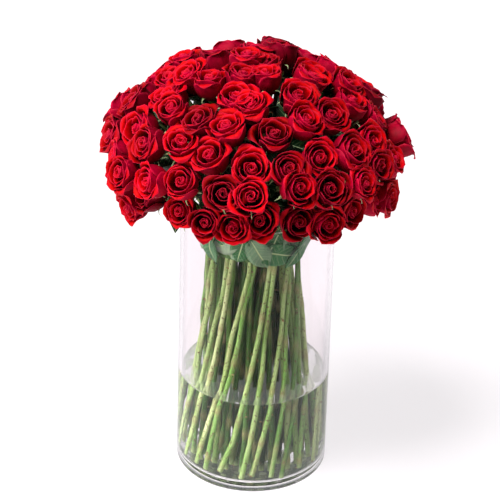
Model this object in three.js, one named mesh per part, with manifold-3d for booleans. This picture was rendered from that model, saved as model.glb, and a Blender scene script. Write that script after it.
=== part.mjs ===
// A hundred red roses, tied in a spiral and standing in a clear glass cylinder vase with water.
// Millimetres, +Z up. The origin is the middle of the vase's flat foot, and the front is -Y.

import * as THREE from "three";
import { mergeVertices } from "three/addons/utils/BufferGeometryUtils.js";
import Module from "manifold-3d";

const wasm = await Module();
wasm.setup();

// ---- Driving dimensions ----

const GAP = 0.3; // kept between pieces that rest on or press against each other

const VASE_RADIUS = 100;
const VASE_HEIGHT = 395;
const VASE_WALL = 5;
const VASE_FLOOR = 13; // thickness of the heavy glass base
const FOOT_ROUND = 6; // radius of the outer edge of the foot
const FLOOR_ROUND = 7; // radius of the inner corner between floor and wall
const ROUND_SIDES = 36;

const WATER_LEVEL = 136;

const STEM_RADIUS = 3.3;
const STEM_SIDES = 5;
const STEPS_BELOW_WAIST = 2;
const STEPS_ABOVE_WAIST = 3;
const FOOT_LOWEST = 16.5; // the lowest cut end, just clear of the vase's floor
const FOOT_SPREAD_Z = 8; // how much higher the highest cut end is
const FOOT_SHIFT = 2.2; // how far a foot may stand in or out of its ring
const FOOT_SWING = 0.6; // how far a foot may stand along its ring, in shares of the ring's spacing

const WAIST_Z = 335; // where the bunch is tied
const FLARE = 1.55; // radius of the bunch at the feet over its radius at the waist
const FLARE_POWER = 1.6; // 2 would be straight stems, and less makes them bow a little
const TWIST_ABOVE = 14; // degrees that the spiral turns from the waist to the blooms
const CLIMB = 0.5; // how far a stem heads straight up from the waist, in shares of the way to its bloom
const ARRIVE = 0.3; // and how far it already heads along its bloom's axis
const MATE_SPACING = 4.6; // between the two stems of a pair, which press together at the waist
const LEAN = 0.016; // the bunch leans to -X by this much of its height

const BLOOM_LENGTH = 40; // from the top of the stem to the crown
const BLOOM_RADIUS = 24; // of a bloom with room to open fully
const BLOOM_SIDES = 7;
const WIDEST_AT = 25; // distance of the widest section from the top of the stem
const CALYX = { drop: 4, radius: 7.5, height: 3 }; // the green cup that grips the stem's top
const SHOULDER = { share: 0.8, height: 13 }; // where the petals have opened to that share of the radius
const CROWN = { share: 0.82, height: 0.92 }; // the rolled rim, in shares of the radius and the length

// The rings of roses, from the middle of the dome out: how many roses, the radius of their stems
// at the waist, the radius and height of their crowns, how steeply they face up, where the first
// rose stands (degrees from the front), how far the sides of the ring sag and spread, and how many
// degrees its stems turn from the feet to the waist, which makes the rings' stems cross.
const RINGS = [
  { count: 4, waist: 6, crown: 30, height: 581, rise: 82, start: 40, sag: 0, spread: 0, twist: 16 },
  { count: 10, waist: 16, crown: 76, height: 573, rise: 69, start: 8, sag: 0, spread: 0, twist: 34 },
  { count: 16, waist: 26, crown: 120, height: 554, rise: 58, start: -11, sag: 0, spread: 0, twist: -4 },
  { count: 20, waist: 36, crown: 157, height: 526, rise: 46, start: -3, sag: 3, spread: 0, twist: 44 },
  { count: 24, waist: 46, crown: 186, height: 494, rise: 28, start: 1, sag: 9, spread: 3, twist: 10 },
  { count: 26, waist: 57, crown: 168, height: 438, rise: 6, start: 7, sag: 9, spread: 15, twist: 46 },
];
const AZIMUTH_WOBBLE = 0.34; // in shares of the ring's spacing
const RISE_WOBBLE = 14; // degrees
const REACH_WOBBLE = 13; // along the bloom's own axis
const SLIDE_WOBBLE = 13; // up and down the dome
const SIZE_WOBBLE = 0.14;

const TIE_HEIGHT = 9;
const TIE_CLEARANCE = 1.8; // round the outer stems, which lean in the spiral
const TIE_THICKNESS = 2;
const TIE_SIDES = 32;

const LEAF_THICKNESS = 1.2;
const LEAF_TIP = 0.06; // width left at the leaf's two ends, in shares of its full width
const LEAF_FULLNESS = 0.8; // 1 would be a parabola from end to end, and less makes the sides fuller
const LEAF_TAPER = 0.4; // how much the widest place moves towards the stalk
const LEAF_CELLS = { along: 6, across: 2 };
// Leaves that stayed on just under the blooms: where the middle of each lies (degrees from the
// front, height, radius), which way its tip points (degrees above the horizontal), and its size.
const LEAVES = [
  { around: 32, height: 342, radius: 69, points: -20, length: 72, width: 37 },
  { around: 55, height: 352, radius: 77, points: -75, length: 56, width: 28 },
  { around: -19, height: 352, radius: 70, points: -115, length: 44, width: 27 },
  { around: -33, height: 372, radius: 78, points: -70, length: 40, width: 26 },
  { around: -56, height: 362, radius: 77, points: -100, length: 56, width: 26 },
  { around: 140, height: 350, radius: 71, points: -80, length: 56, width: 30 },
  { around: 215, height: 352, radius: 72, points: -105, length: 54, width: 28 },
];
const LEAF_SLOPE = 0.22; // how fast the leaves move out with height, as the stems do

// ---- Small helpers ----

const radians = THREE.MathUtils.degToRad;

// An even, repeatable scatter between -0.5 and 0.5: multiples of an irrational number, wrapped.
const SCATTER = {
  azimuth: Math.sqrt(2),
  slide: Math.sqrt(22),
  rise: Math.sqrt(3),
  reach: Math.sqrt(7),
  size: Math.sqrt(11),
  footHeight: Math.sqrt(13),
  footShift: Math.sqrt(17),
  footSwing: Math.sqrt(19),
};
function scatter(number, kind) {
  const value = number * SCATTER[kind];
  return value - Math.floor(value) - 0.5;
}

// A point of the bunch from its angle round the axis (0 is the front, growing towards +X).
function bunchPoint(angle, radius, z) {
  return new THREE.Vector3(radius * Math.sin(angle) - LEAN * z, -radius * Math.cos(angle), z);
}

function toSolid(geometry) {
  const bare = geometry.clone();
  bare.deleteAttribute("normal");
  bare.deleteAttribute("uv");
  const merged = mergeVertices(bare, 1e-4);
  return new wasm.Manifold(
    new wasm.Mesh({
      numProp: 3,
      vertProperties: new Float32Array(merged.attributes.position.array),
      triVerts: new Uint32Array(merged.index.array),
    }),
  );
}

function toGeometry(solid) {
  const mesh = solid.getMesh();
  const geometry = new THREE.BufferGeometry();
  geometry.setAttribute("position", new THREE.BufferAttribute(mesh.vertProperties, mesh.numProp));
  geometry.setIndex(new THREE.BufferAttribute(mesh.triVerts, 1));
  geometry.computeVertexNormals();
  return geometry;
}

// A closed profile of [radius, z] points turned round the Z axis.
function turned(profile, sides) {
  const points = profile.map(([radius, z]) => new THREE.Vector2(radius, z));
  return new THREE.LatheGeometry(points, sides).rotateX(Math.PI / 2);
}

// Points of a circular arc in the profile plane, from one angle to another (degrees).
function arc(centreRadius, centreZ, radius, from, to, steps) {
  const points = [];
  for (let i = 0; i <= steps; i++) {
    const angle = radians(from + ((to - from) * i) / steps);
    points.push([centreRadius + radius * Math.cos(angle), centreZ + radius * Math.sin(angle)]);
  }
  return points;
}

// ---- Where each rose grows ----

function placeRoses() {
  const roses = [];
  for (const ring of RINGS) {
    const spacing = (2 * Math.PI) / ring.count;
    for (let place = 0; place < ring.count; place++) {
      const number = roses.length + 1;
      const level = radians(ring.start) + place * spacing;
      const angle = level + spacing * AZIMUTH_WOBBLE * scatter(number, "azimuth");
      const side = Math.sin(level) ** 2;
      const rise = radians(ring.rise + RISE_WOBBLE * scatter(number, "rise"));
      const reach = REACH_WOBBLE * scatter(number, "reach");
      const size = 1 + SIZE_WOBBLE * scatter(number, "size");
      const length = BLOOM_LENGTH * size;
      const slide = SLIDE_WOBBLE * scatter(number, "slide");
      const crownRadius =
        ring.crown + ring.spread * side + reach * Math.cos(rise) - slide * Math.sin(rise);
      const crownZ =
        ring.height - ring.sag * side + reach * Math.sin(rise) + slide * Math.cos(rise);
      const isFirstOfPair = place % 2 === 0;
      const pairMiddle = level + (isFirstOfPair ? spacing / 2 : -spacing / 2);
      roses.push({
        number,
        ring,
        spacing,
        level,
        angle,
        rise,
        size,
        length,
        pairMiddle,
        mateSide: isFirstOfPair ? -1 : 1,
        baseRadius: crownRadius - length * Math.cos(rise),
        baseZ: crownZ - length * Math.sin(rise),
      });
    }
  }
  for (const rose of roses) {
    const up = Math.sin(rose.rise);
    const out = Math.cos(rose.rise);
    rose.base = bunchPoint(rose.angle, rose.baseRadius, rose.baseZ);
    rose.axis = new THREE.Vector3(Math.sin(rose.angle) * out, -Math.cos(rose.angle) * out, up);
    rose.middle = rose.base.clone().addScaledVector(rose.axis, WIDEST_AT * rose.size);
  }
  openBlooms(roses);
  return roses;
}

// Every bloom takes half the way to its nearest neighbour, and then opens into what room is left.
function openBlooms(roses) {
  const ways = roses.map((rose) => roses.map((other) => rose.middle.distanceTo(other.middle)));
  const room = (index, taken) =>
    Math.min(...roses.map((other, j) => (j === index ? Infinity : ways[index][j] - taken(index, j))));
  roses.forEach((rose, index) => {
    rose.radius = room(index, (i, j) => ways[i][j] / 2) - GAP;
  });
  roses.forEach((rose, index) => {
    const widest = room(index, (i, j) => roses[j].radius) - GAP;
    rose.radius = Math.min(BLOOM_RADIUS * rose.size, Math.max(rose.radius, widest));
  });
}

// The middle line of a stem: below the waist the whole bunch opens and turns with depth, and
// above it each stem swings out on a cubic curve that arrives along its bloom's axis.
class StemCurve extends THREE.Curve {
  constructor(rose) {
    super();
    this.rose = rose;
    this.split = STEPS_BELOW_WAIST / (STEPS_BELOW_WAIST + STEPS_ABOVE_WAIST);
    this.footZ = FOOT_LOWEST + FOOT_SPREAD_Z * (scatter(rose.number, "footHeight") + 0.5);
    this.waistAngle =
      rose.pairMiddle -
      radians(TWIST_ABOVE) +
      (rose.mateSide * MATE_SPACING) / 2 / rose.ring.waist;
    this.footAngle =
      rose.level -
      radians(TWIST_ABOVE + rose.ring.twist) +
      rose.spacing * FOOT_SWING * scatter(rose.number, "footSwing");
    const foot = new THREE.Vector2(rose.ring.waist, WAIST_Z);
    const top = new THREE.Vector2(rose.baseRadius, rose.baseZ);
    const way = foot.distanceTo(top);
    const facing = new THREE.Vector2(Math.cos(rose.rise), Math.sin(rose.rise));
    const straightUp = foot.clone().add(new THREE.Vector2(0, CLIMB * way));
    const intoBloom = top.clone().addScaledVector(facing, -ARRIVE * way);
    this.rising = new THREE.CubicBezierCurve(foot, straightUp, intoBloom, top);
  }

  getPoint(t, target = new THREE.Vector3()) {
    const { rose } = this;
    if (t < this.split) {
      const depth = 1 - t / this.split;
      const open = Math.sqrt(1 + (FLARE ** 2 - 1) * depth ** FLARE_POWER);
      const shift = FOOT_SHIFT * scatter(rose.number, "footShift") * depth;
      const angle = THREE.MathUtils.lerp(this.waistAngle, this.footAngle, depth);
      const z = THREE.MathUtils.lerp(WAIST_Z, this.footZ, depth);
      return target.copy(bunchPoint(angle, rose.ring.waist * open + shift, z));
    }
    const climb = (t - this.split) / (1 - this.split);
    const point = this.rising.getPoint(climb);
    const angle = THREE.MathUtils.lerp(this.waistAngle, rose.angle, climb);
    return target.copy(bunchPoint(angle, point.x, point.y));
  }

  // The steps follow the curve's own parameter, so the bend under the bloom gets enough of them.
  getPointAt(u, target) {
    return this.getPoint(u, target);
  }

  getTangentAt(u, target) {
    return this.getTangent(u, target);
  }
}

// ---- The pieces ----

function stemSolid(rose, radius) {
  const section = new THREE.Shape();
  for (let i = 0; i < STEM_SIDES; i++) {
    const angle = (2 * Math.PI * i) / STEM_SIDES;
    const move = i === 0 ? "moveTo" : "lineTo";
    section[move](radius * Math.cos(angle), radius * Math.sin(angle));
  }
  section.closePath();
  const options = {
    steps: STEPS_BELOW_WAIST + STEPS_ABOVE_WAIST,
    bevelEnabled: false,
    extrudePath: new StemCurve(rose),
  };
  return toSolid(new THREE.ExtrudeGeometry(section, options));
}

// The closed outer form of a bloom: calyx, swelling cup, rolled rim and the low crown in it.
function bloomSolid(rose) {
  const { length, radius, size } = rose;
  const profile = [
    [0, -CALYX.drop * size],
    [CALYX.radius * size, CALYX.height * size],
    [SHOULDER.share * radius, SHOULDER.height * size],
    [radius, WIDEST_AT * size],
    [CROWN.share * radius, CROWN.height * length],
    [0, length],
  ];
  const geometry = turned(profile, BLOOM_SIDES);
  const up = new THREE.Vector3(0, 0, 1);
  geometry.applyQuaternion(new THREE.Quaternion().setFromUnitVectors(up, rose.axis));
  geometry.translate(rose.base.x, rose.base.y, rose.base.z);
  return toSolid(geometry);
}

function roseSolid(rose) {
  return stemSolid(rose, STEM_RADIUS).add(bloomSolid(rose));
}

function vaseGeometry() {
  const inside = VASE_RADIUS - VASE_WALL;
  const lip = VASE_WALL / 2;
  const profile = [
    [0, 0],
    ...arc(VASE_RADIUS - FOOT_ROUND, FOOT_ROUND, FOOT_ROUND, -90, 0, 3),
    ...arc(VASE_RADIUS - lip, VASE_HEIGHT - lip, lip, 0, 180, 3),
    ...arc(inside - FLOOR_ROUND, VASE_FLOOR + FLOOR_ROUND, FLOOR_ROUND, 0, -90, 3),
    [0, VASE_FLOOR],
  ];
  return turned(profile, ROUND_SIDES);
}

// The water fills the vase round the stems, so it has a hole for each of them.
function waterGeometry(roses) {
  const inside = VASE_RADIUS - VASE_WALL - GAP / Math.cos(Math.PI / ROUND_SIDES);
  const bottom = VASE_FLOOR + GAP;
  const profile = [
    [0, bottom],
    ...arc(inside - FLOOR_ROUND, bottom + FLOOR_ROUND, FLOOR_ROUND, -90, 0, 3),
    [inside, WATER_LEVEL],
    [0, WATER_LEVEL],
  ];
  let water = toSolid(turned(profile, ROUND_SIDES));
  const clearance = STEM_RADIUS + GAP / Math.cos(Math.PI / STEM_SIDES);
  for (const rose of roses) {
    water = water.subtract(stemSolid(rose, clearance));
  }
  return toGeometry(water);
}

function tieGeometry() {
  const outerRing = Math.max(...RINGS.map((ring) => ring.waist));
  const inner = outerRing + STEM_RADIUS + TIE_CLEARANCE;
  const outer = inner + TIE_THICKNESS;
  const low = WAIST_Z - TIE_HEIGHT / 2;
  const high = WAIST_Z + TIE_HEIGHT / 2;
  const profile = [
    [inner, low],
    [outer, low],
    [outer, high],
    [inner, high],
    [inner, low],
  ];
  return turned(profile, TIE_SIDES).translate(-LEAN * WAIST_Z, 0, 0);
}

// A leaf blade: a thin slab of cells, drawn in to two points and wrapped round the bunch.
function leafGeometry(leaf) {
  const geometry = new THREE.BoxGeometry(1, 2, 1, LEAF_CELLS.along, LEAF_CELLS.across, 1);
  const position = geometry.attributes.position;
  const point = new THREE.Vector3();
  for (let i = 0; i < position.count; i++) {
    point.fromBufferAttribute(position, i);
    const along = point.x;
    const bow = (1 - 4 * along * along) ** LEAF_FULLNESS;
    const outline = Math.max(LEAF_TIP, bow * (1 - LEAF_TAPER * along));
    const across = (point.y * leaf.width * outline) / 2;
    const tangent = radians(leaf.points);
    const sideways = along * leaf.length * Math.cos(tangent) - across * Math.sin(tangent);
    const rise = along * leaf.length * Math.sin(tangent) + across * Math.cos(tangent);
    const radius = leaf.radius + LEAF_SLOPE * rise + point.z * LEAF_THICKNESS;
    const angle = radians(leaf.around) + sideways / leaf.radius;
    const placed = bunchPoint(angle, radius, leaf.height + rise);
    position.setXYZ(i, placed.x, placed.y, placed.z);
  }
  return geometry;
}

// ---- The finishes ----

function finish(color, roughness, extra = {}) {
  return new THREE.MeshStandardMaterial({ color, roughness, metalness: 0, ...extra });
}

// ---- The whole object ----

const object = new THREE.Group();

function addPiece(name, geometry, material) {
  const mesh = new THREE.Mesh(geometry, material);
  mesh.name = name;
  object.add(mesh);
}

const roses = placeRoses();
addPiece("vase", vaseGeometry(), finish("#e8e6ee", 0.05, { transparent: true, opacity: 0.3 }));
addPiece("water", waterGeometry(roses), finish("#dfe9e6", 0.05, { transparent: true, opacity: 0.4 }));
for (let first = 0; first < roses.length; first += 2) {
  const pair = roseSolid(roses[first]).add(roseSolid(roses[first + 1]));
  const number = String(first / 2 + 1).padStart(2, "0");
  addPiece(`rose_pair_${number}`, toGeometry(pair), finish("#c10a18", 0.6));
}
addPiece("tie", tieGeometry(), finish("#37592a", 0.8));
LEAVES.forEach((leaf, index) => {
  addPiece(`leaf_${index + 1}`, leafGeometry(leaf), finish("#2f6b35", 0.45));
});

export default object;
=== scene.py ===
# %% [markdown]
# # A hundred red roses in a glass vase
# The real thing is a domed bunch of long-stemmed roses, tied in a spiral and standing in a tall glass
# cylinder with some water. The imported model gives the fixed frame: where the glass, the water, every rose
# and the leaves are. This script gives each of them its real surface, and moves nothing.

# %% The fixed frame
import math

import bpy
from mathutils import Matrix, Vector


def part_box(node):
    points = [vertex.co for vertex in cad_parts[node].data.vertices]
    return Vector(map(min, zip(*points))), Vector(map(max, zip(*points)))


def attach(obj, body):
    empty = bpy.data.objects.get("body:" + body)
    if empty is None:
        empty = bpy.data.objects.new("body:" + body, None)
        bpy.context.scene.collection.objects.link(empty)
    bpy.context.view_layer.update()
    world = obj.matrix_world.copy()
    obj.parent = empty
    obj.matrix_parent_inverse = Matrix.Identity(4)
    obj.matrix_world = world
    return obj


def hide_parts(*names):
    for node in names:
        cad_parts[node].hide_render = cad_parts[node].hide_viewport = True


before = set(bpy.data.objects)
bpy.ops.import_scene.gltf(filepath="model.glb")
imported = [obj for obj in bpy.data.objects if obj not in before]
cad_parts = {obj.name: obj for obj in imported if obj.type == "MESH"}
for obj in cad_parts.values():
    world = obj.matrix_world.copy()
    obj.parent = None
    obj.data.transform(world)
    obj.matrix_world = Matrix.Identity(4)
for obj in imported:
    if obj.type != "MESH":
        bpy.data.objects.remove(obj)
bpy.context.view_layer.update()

# %% [markdown]
# ## Camera, light and floor
# A tall vase is best shown through a long lens from a few metres away, looking down by thirty degrees, so
# that its sides stay nearly parallel. The camera and the lights come first, because every later choice is
# judged through them. One large soft light stands high in front on the left. A weaker one stands low on
# the same side and reaches the stems under the dome. The surroundings are grey at eye level and white
# overhead, since glass needs something to mirror. The floor glows a little, so that it stays white and
# takes only a faint shadow.

# %% Camera
CAMERA_DISTANCE = 3.437
CAMERA_ELEVATION = 30.17
CAMERA_YAW = -0.153
CAMERA_ROLL = 1.75
CAMERA_FIELD = 10.73
TARGET_HEIGHT = 0.3127


def make_camera():
    elevation = math.radians(CAMERA_ELEVATION)
    yaw = math.radians(CAMERA_YAW)
    roll = math.radians(CAMERA_ROLL)
    forward = Vector((math.sin(yaw), math.cos(elevation), -math.sin(elevation))).normalized()
    level = forward.cross(Vector((0, 0, 1))).normalized()
    upright = level.cross(forward)
    right = level * math.cos(roll) + upright * math.sin(roll)
    up = upright * math.cos(roll) - level * math.sin(roll)
    camera = bpy.data.objects.new("camera", bpy.data.cameras.new("camera"))
    bpy.context.scene.collection.objects.link(camera)
    turn = Matrix((right, up, -forward)).transposed().to_4x4()
    back = Vector((0, -math.cos(elevation), math.sin(elevation))) * CAMERA_DISTANCE
    camera.matrix_world = Matrix.Translation(Vector((0, 0, TARGET_HEIGHT)) + back) @ turn
    camera.data.angle = math.radians(CAMERA_FIELD)
    camera.data.clip_start = 0.1
    camera.data.clip_end = 50
    bpy.context.scene.camera = camera
    return camera


camera = make_camera()
print("the lens is", round(camera.data.lens), "mm long on a 36 mm frame")

# %% Helpers for materials
def new_material(name, **constants):
    """A material, its node tree and its main shader, with what is the same all over set on the shader."""
    material = bpy.data.materials.new(name)
    material.use_nodes = True
    tree = material.node_tree
    shader = tree.nodes["Principled BSDF"]
    for label, value in constants.items():
        shader.inputs[label.replace("_", " ")].default_value = value
    return material, tree, shader


def add_node(tree, kind, **inputs):
    """A node with the named inputs set, or linked where the value is a socket."""
    node = tree.nodes.new(kind)
    for name, value in inputs.items():
        socket = node.inputs[name.replace("_", " ")]
        if isinstance(value, bpy.types.NodeSocket):
            tree.links.new(value, socket)
        else:
            socket.default_value = value
    return node


def attribute(tree, name):
    node = tree.nodes.new("ShaderNodeAttribute")
    node.attribute_name = name
    return node.outputs["Fac"]


def ramp(tree, value, stops):
    """Colours by position along a value from 0 to 1."""
    node = tree.nodes.new("ShaderNodeValToRGB")
    elements = node.color_ramp.elements
    while len(elements) < len(stops):
        elements.new(0.5)
    for element, (position, colour) in zip(elements, stops):
        element.position = position
        element.color = (*colour, 1)
    tree.links.new(value, node.inputs["Fac"])
    return node.outputs["Color"]


def blend_colours(tree, share, first, second):
    node = tree.nodes.new("ShaderNodeMix")
    node.data_type = "RGBA"
    for socket, value in ((node.inputs["Factor"], share), (node.inputs[6], first), (node.inputs[7], second)):
        if isinstance(value, bpy.types.NodeSocket):
            tree.links.new(value, socket)
        else:
            socket.default_value = value
    return node.outputs[2]


def multiply_colours(tree, first, second):
    node = tree.nodes.new("ShaderNodeMix")
    node.data_type = "RGBA"
    node.blend_type = "MULTIPLY"
    node.inputs["Factor"].default_value = 1
    tree.links.new(first, node.inputs[6])
    tree.links.new(second, node.inputs[7])
    return node.outputs[2]


def spots(tree, scale, detail=2.0, roughness=0.5, stretch=(1, 1, 1)):
    """Noise on the piece's own object coordinates."""
    place = tree.nodes.new("ShaderNodeTexCoord").outputs["Object"]
    mapped = add_node(tree, "ShaderNodeMapping", Vector=place, Scale=stretch).outputs[0]
    grain = add_node(tree, "ShaderNodeTexNoise", Vector=mapped, Scale=scale, Detail=detail,
                     Roughness=roughness)
    return grain.outputs["Fac"]


def bumped(tree, shader, height, distance, strength=0.5):
    bump = add_node(tree, "ShaderNodeBump", Height=height, Strength=strength, Distance=distance)
    tree.links.new(bump.outputs["Normal"], shader.inputs["Normal"])

# %% Lights and surroundings
KEY_DIRECTION = (0.42, 0.26, -1.0)
KEY_SOFTNESS = 26
KEY_STRENGTH = 3.9
SIDE_DIRECTION = (0.90, 0.42, -0.30)
SIDE_SOFTNESS = 18
SIDE_STRENGTH = 1.7
SURROUND_COLOUR = (1.0, 0.985, 0.99, 1)
SURROUND_LEVEL = 0.50
SURROUND_TOP = 0.95
SURROUND_STARTS = -0.1
SURROUND_ENDS = 0.7
SURROUND_CAST = 0.08


def make_light(name, direction, softness, strength):
    """A far-off light; its softness is the angle it fills. It isn't seen through glass as a bright patch."""
    light = bpy.data.lights.new(name, "SUN")
    light.angle = math.radians(softness)
    light.energy = strength
    lamp = bpy.data.objects.new(name, light)
    bpy.context.scene.collection.objects.link(lamp)
    lamp.rotation_euler = Vector(direction).to_track_quat("-Z", "Y").to_euler()
    lamp.visible_transmission = False
    return lamp


def make_surroundings():
    """What the glass mirrors: white above, grey at eye level. It lights the flowers only a little."""
    world = bpy.data.worlds.new("studio")
    world.use_nodes = True
    bpy.context.scene.world = world
    tree = world.node_tree
    nodes = tree.nodes
    background = nodes["Background"]
    background.inputs["Color"].default_value = SURROUND_COLOUR
    place = nodes.new("ShaderNodeTexCoord")
    parts = add_node(tree, "ShaderNodeSeparateXYZ", Vector=place.outputs["Generated"])
    climb = add_node(tree, "ShaderNodeMapRange", Value=parts.outputs["Z"], From_Min=SURROUND_STARTS,
                     From_Max=SURROUND_ENDS, To_Min=SURROUND_LEVEL, To_Max=SURROUND_TOP)
    climb.interpolation_type = "SMOOTHSTEP"
    path = nodes.new("ShaderNodeLightPath")
    strength = add_node(tree, "ShaderNodeMix", Factor=path.outputs["Is Diffuse Ray"],
                        A=climb.outputs["Result"], B=SURROUND_CAST)
    tree.links.new(strength.outputs["Result"], background.inputs["Strength"])


make_light("key_light", KEY_DIRECTION, KEY_SOFTNESS, KEY_STRENGTH)
make_light("side_light", SIDE_DIRECTION, SIDE_SOFTNESS, SIDE_STRENGTH)
make_surroundings()
bpy.context.scene.view_settings.view_transform = "Standard"

# %% Floor
FLOOR_HALF = 6.0
FLOOR_COLOUR = (0.30, 0.285, 0.295, 1)
FLOOR_GLOW = 0.80
FLOOR_GLOW_COLOUR = (1.0, 0.97, 0.99, 1)


def make_floor():
    mesh = bpy.data.meshes.new("floor")
    corners = [(-FLOOR_HALF, -FLOOR_HALF, 0), (FLOOR_HALF, -FLOOR_HALF, 0), (FLOOR_HALF, FLOOR_HALF, 0),
               (-FLOOR_HALF, FLOOR_HALF, 0)]
    mesh.from_pydata(corners, [], [(0, 1, 2, 3)])
    floor = bpy.data.objects.new("floor", mesh)
    bpy.context.scene.collection.objects.link(floor)
    material, tree, shader = new_material("matt white paper", Base_Color=FLOOR_COLOUR, Roughness=0.9,
                                          Specular_IOR_Level=0.1, Emission_Color=FLOOR_GLOW_COLOUR,
                                          Emission_Strength=FLOOR_GLOW)
    mesh.materials.append(material)


make_floor()

# %% [markdown]
# ## Where the roses are
# The bunch is a spiral. Each ring of roses passes the tie in a ring of its own, turns a little on the way
# up, and opens out into the dome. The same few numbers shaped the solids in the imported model, so working
# them out again gives every stem its path and every bloom its place, size and direction. A table of a
# hundred places would say less and be harder to change.

# %% The rings of the dome
RING_COLUMNS = ("count", "waist", "crown", "height", "rise", "start", "sag", "spread", "twist")
RINGS = [dict(zip(RING_COLUMNS, row)) for row in (
    (4, 0.006, 0.03, 0.581, 82, 40, 0, 0, 16),
    (10, 0.016, 0.076, 0.573, 69, 8, 0, 0, 34),
    (16, 0.026, 0.12, 0.554, 58, -11, 0, 0, -4),
    (20, 0.036, 0.157, 0.526, 46, -3, 0.003, 0, 44),
    (24, 0.046, 0.186, 0.494, 28, 1, 0.009, 0.003, 10),
    (26, 0.057, 0.168, 0.438, 6, 7, 0.009, 0.015, 46),
)]
AZIMUTH_WOBBLE = 0.34
RISE_WOBBLE = 14
REACH_WOBBLE = 0.013
SLIDE_WOBBLE = 0.013
SIZE_WOBBLE = 0.14
BLOOM_LENGTH = 0.040
BLOOM_RADIUS = 0.024
WIDEST_AT = 0.025
LEAN = 0.016
GAP = 0.0003
SCATTER = {"azimuth": 2, "rise": 3, "slide": 22, "reach": 7, "size": 11, "foot height": 13, "foot shift": 17,
           "foot swing": 19, "opening": 23, "petals": 29, "tone": 31, "nod": 37, "lean": 41,
           "swell": 43, "stem tone": 47}


def scatter(number, kind):
    """Spreads the numbers 1, 2, 3… evenly over -0.5 to 0.5, in a different order for each kind."""
    return (number * math.sqrt(SCATTER[kind])) % 1 - 0.5


def bunch_point(angle, radius, height):
    """Angle 0 is the front and grows towards +X. The whole bunch leans a little to -X."""
    return Vector((radius * math.sin(angle) - LEAN * height, -radius * math.cos(angle), height))


def place_rose(number, ring, place):
    spacing = 2 * math.pi / ring["count"]
    level = math.radians(ring["start"]) + place * spacing
    side = math.sin(level) ** 2
    size = 1 + SIZE_WOBBLE * scatter(number, "size")
    rise = math.radians(ring["rise"] + RISE_WOBBLE * scatter(number, "rise"))
    reach = REACH_WOBBLE * scatter(number, "reach")
    slide = SLIDE_WOBBLE * scatter(number, "slide")
    crown = ring["crown"] + ring["spread"] * side + reach * math.cos(rise) - slide * math.sin(rise)
    height = ring["height"] - ring["sag"] * side + reach * math.sin(rise) + slide * math.cos(rise)
    first = place % 2 == 0
    rose = {"number": number, "ring": ring, "spacing": spacing, "level": level, "rise": rise, "size": size}
    rose["angle"] = level + spacing * AZIMUTH_WOBBLE * scatter(number, "azimuth")
    rose["length"] = BLOOM_LENGTH * size
    rose["pair middle"] = level + (spacing / 2 if first else -spacing / 2)
    rose["mate side"] = -1 if first else 1
    rose["base radius"] = crown - rose["length"] * math.cos(rise)
    rose["base height"] = height - rose["length"] * math.sin(rise)
    rose["base"] = bunch_point(rose["angle"], rose["base radius"], rose["base height"])
    level_share = math.cos(rise)
    rose["axis"] = Vector((math.sin(rose["angle"]) * level_share, -math.cos(rose["angle"]) * level_share,
                           math.sin(rise)))
    rose["middle"] = rose["base"] + rose["axis"] * WIDEST_AT * size
    return rose


def place_roses():
    roses = []
    for ring in RINGS:
        for place in range(ring["count"]):
            roses.append(place_rose(len(roses) + 1, ring, place))
    return roses


def open_blooms(roses):
    """Each bloom opens until it meets its neighbours, up to the size of a fully open one."""
    ways = [[(rose["middle"] - other["middle"]).length for other in roses] for rose in roses]
    count = len(roses)
    for i, rose in enumerate(roses):
        rose["radius"] = min(ways[i][j] / 2 for j in range(count) if j != i) - GAP
    for i, rose in enumerate(roses):
        room = min(ways[i][j] - roses[j]["radius"] for j in range(count) if j != i) - GAP
        rose["radius"] = min(BLOOM_RADIUS * rose["size"], max(rose["radius"], room))


roses = place_roses()
open_blooms(roses)
pairs = [(f"{n + 1:02d}", roses[2 * n : 2 * n + 2]) for n in range(len(roses) // 2)]
worst = 0
for label, pair in pairs:
    low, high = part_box(f"rose_pair_{label}")
    for rose in pair:
        crown = rose["base"] + rose["axis"] * rose["length"]
        worst = max(worst, *(low - crown), *(crown - high))
print(len(roses), "roses; the farthest crown is", round(worst * 1000, 3), "mm outside its solid's box")

# %% [markdown]
# ## Sums in a node tree
# A rose petal is a formula: how far out, how high and how far round each point lies. Geometry Nodes can
# work such a formula out for every petal at once, but wiring dozens of Math nodes by hand hides the sum. So
# a value in a tree is wrapped in a small class whose arithmetic adds the nodes, and the formulas below can
# be read as formulas.

# %% A value in a tree
class Flow:
    """A value that flows through a node tree. Arithmetic on it adds Math nodes."""

    def __init__(self, tree, socket):
        self.tree = tree
        self.socket = socket

    def sum(self, operation, *others):
        node = self.tree.nodes.new("ShaderNodeMath")
        node.operation = operation
        for socket, value in zip(node.inputs, (self, *others)):
            if isinstance(value, Flow):
                self.tree.links.new(value.socket, socket)
            else:
                socket.default_value = value
        return Flow(self.tree, node.outputs[0])

    def __add__(self, other):
        return self.sum("ADD", other)

    def __mul__(self, other):
        return self.sum("MULTIPLY", other)

    def __sub__(self, other):
        return self.sum("SUBTRACT", other)

    def __rsub__(self, other):
        return self * -1.0 + other

    def __truediv__(self, other):
        return self.sum("DIVIDE", other)

    def __pow__(self, other):
        return self.sum("POWER", other)

    __radd__ = __add__
    __rmul__ = __mul__

    def sin(self):
        return self.sum("SINE")

    def cos(self):
        return self.sum("COSINE")

    def size(self):
        return self.sum("ABSOLUTE")

    def at_least(self, other):
        return self.sum("MAXIMUM", other)

    def at_most(self, other):
        return self.sum("MINIMUM", other)


def between(low, high, share):
    return low + (high - low) * share


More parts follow.
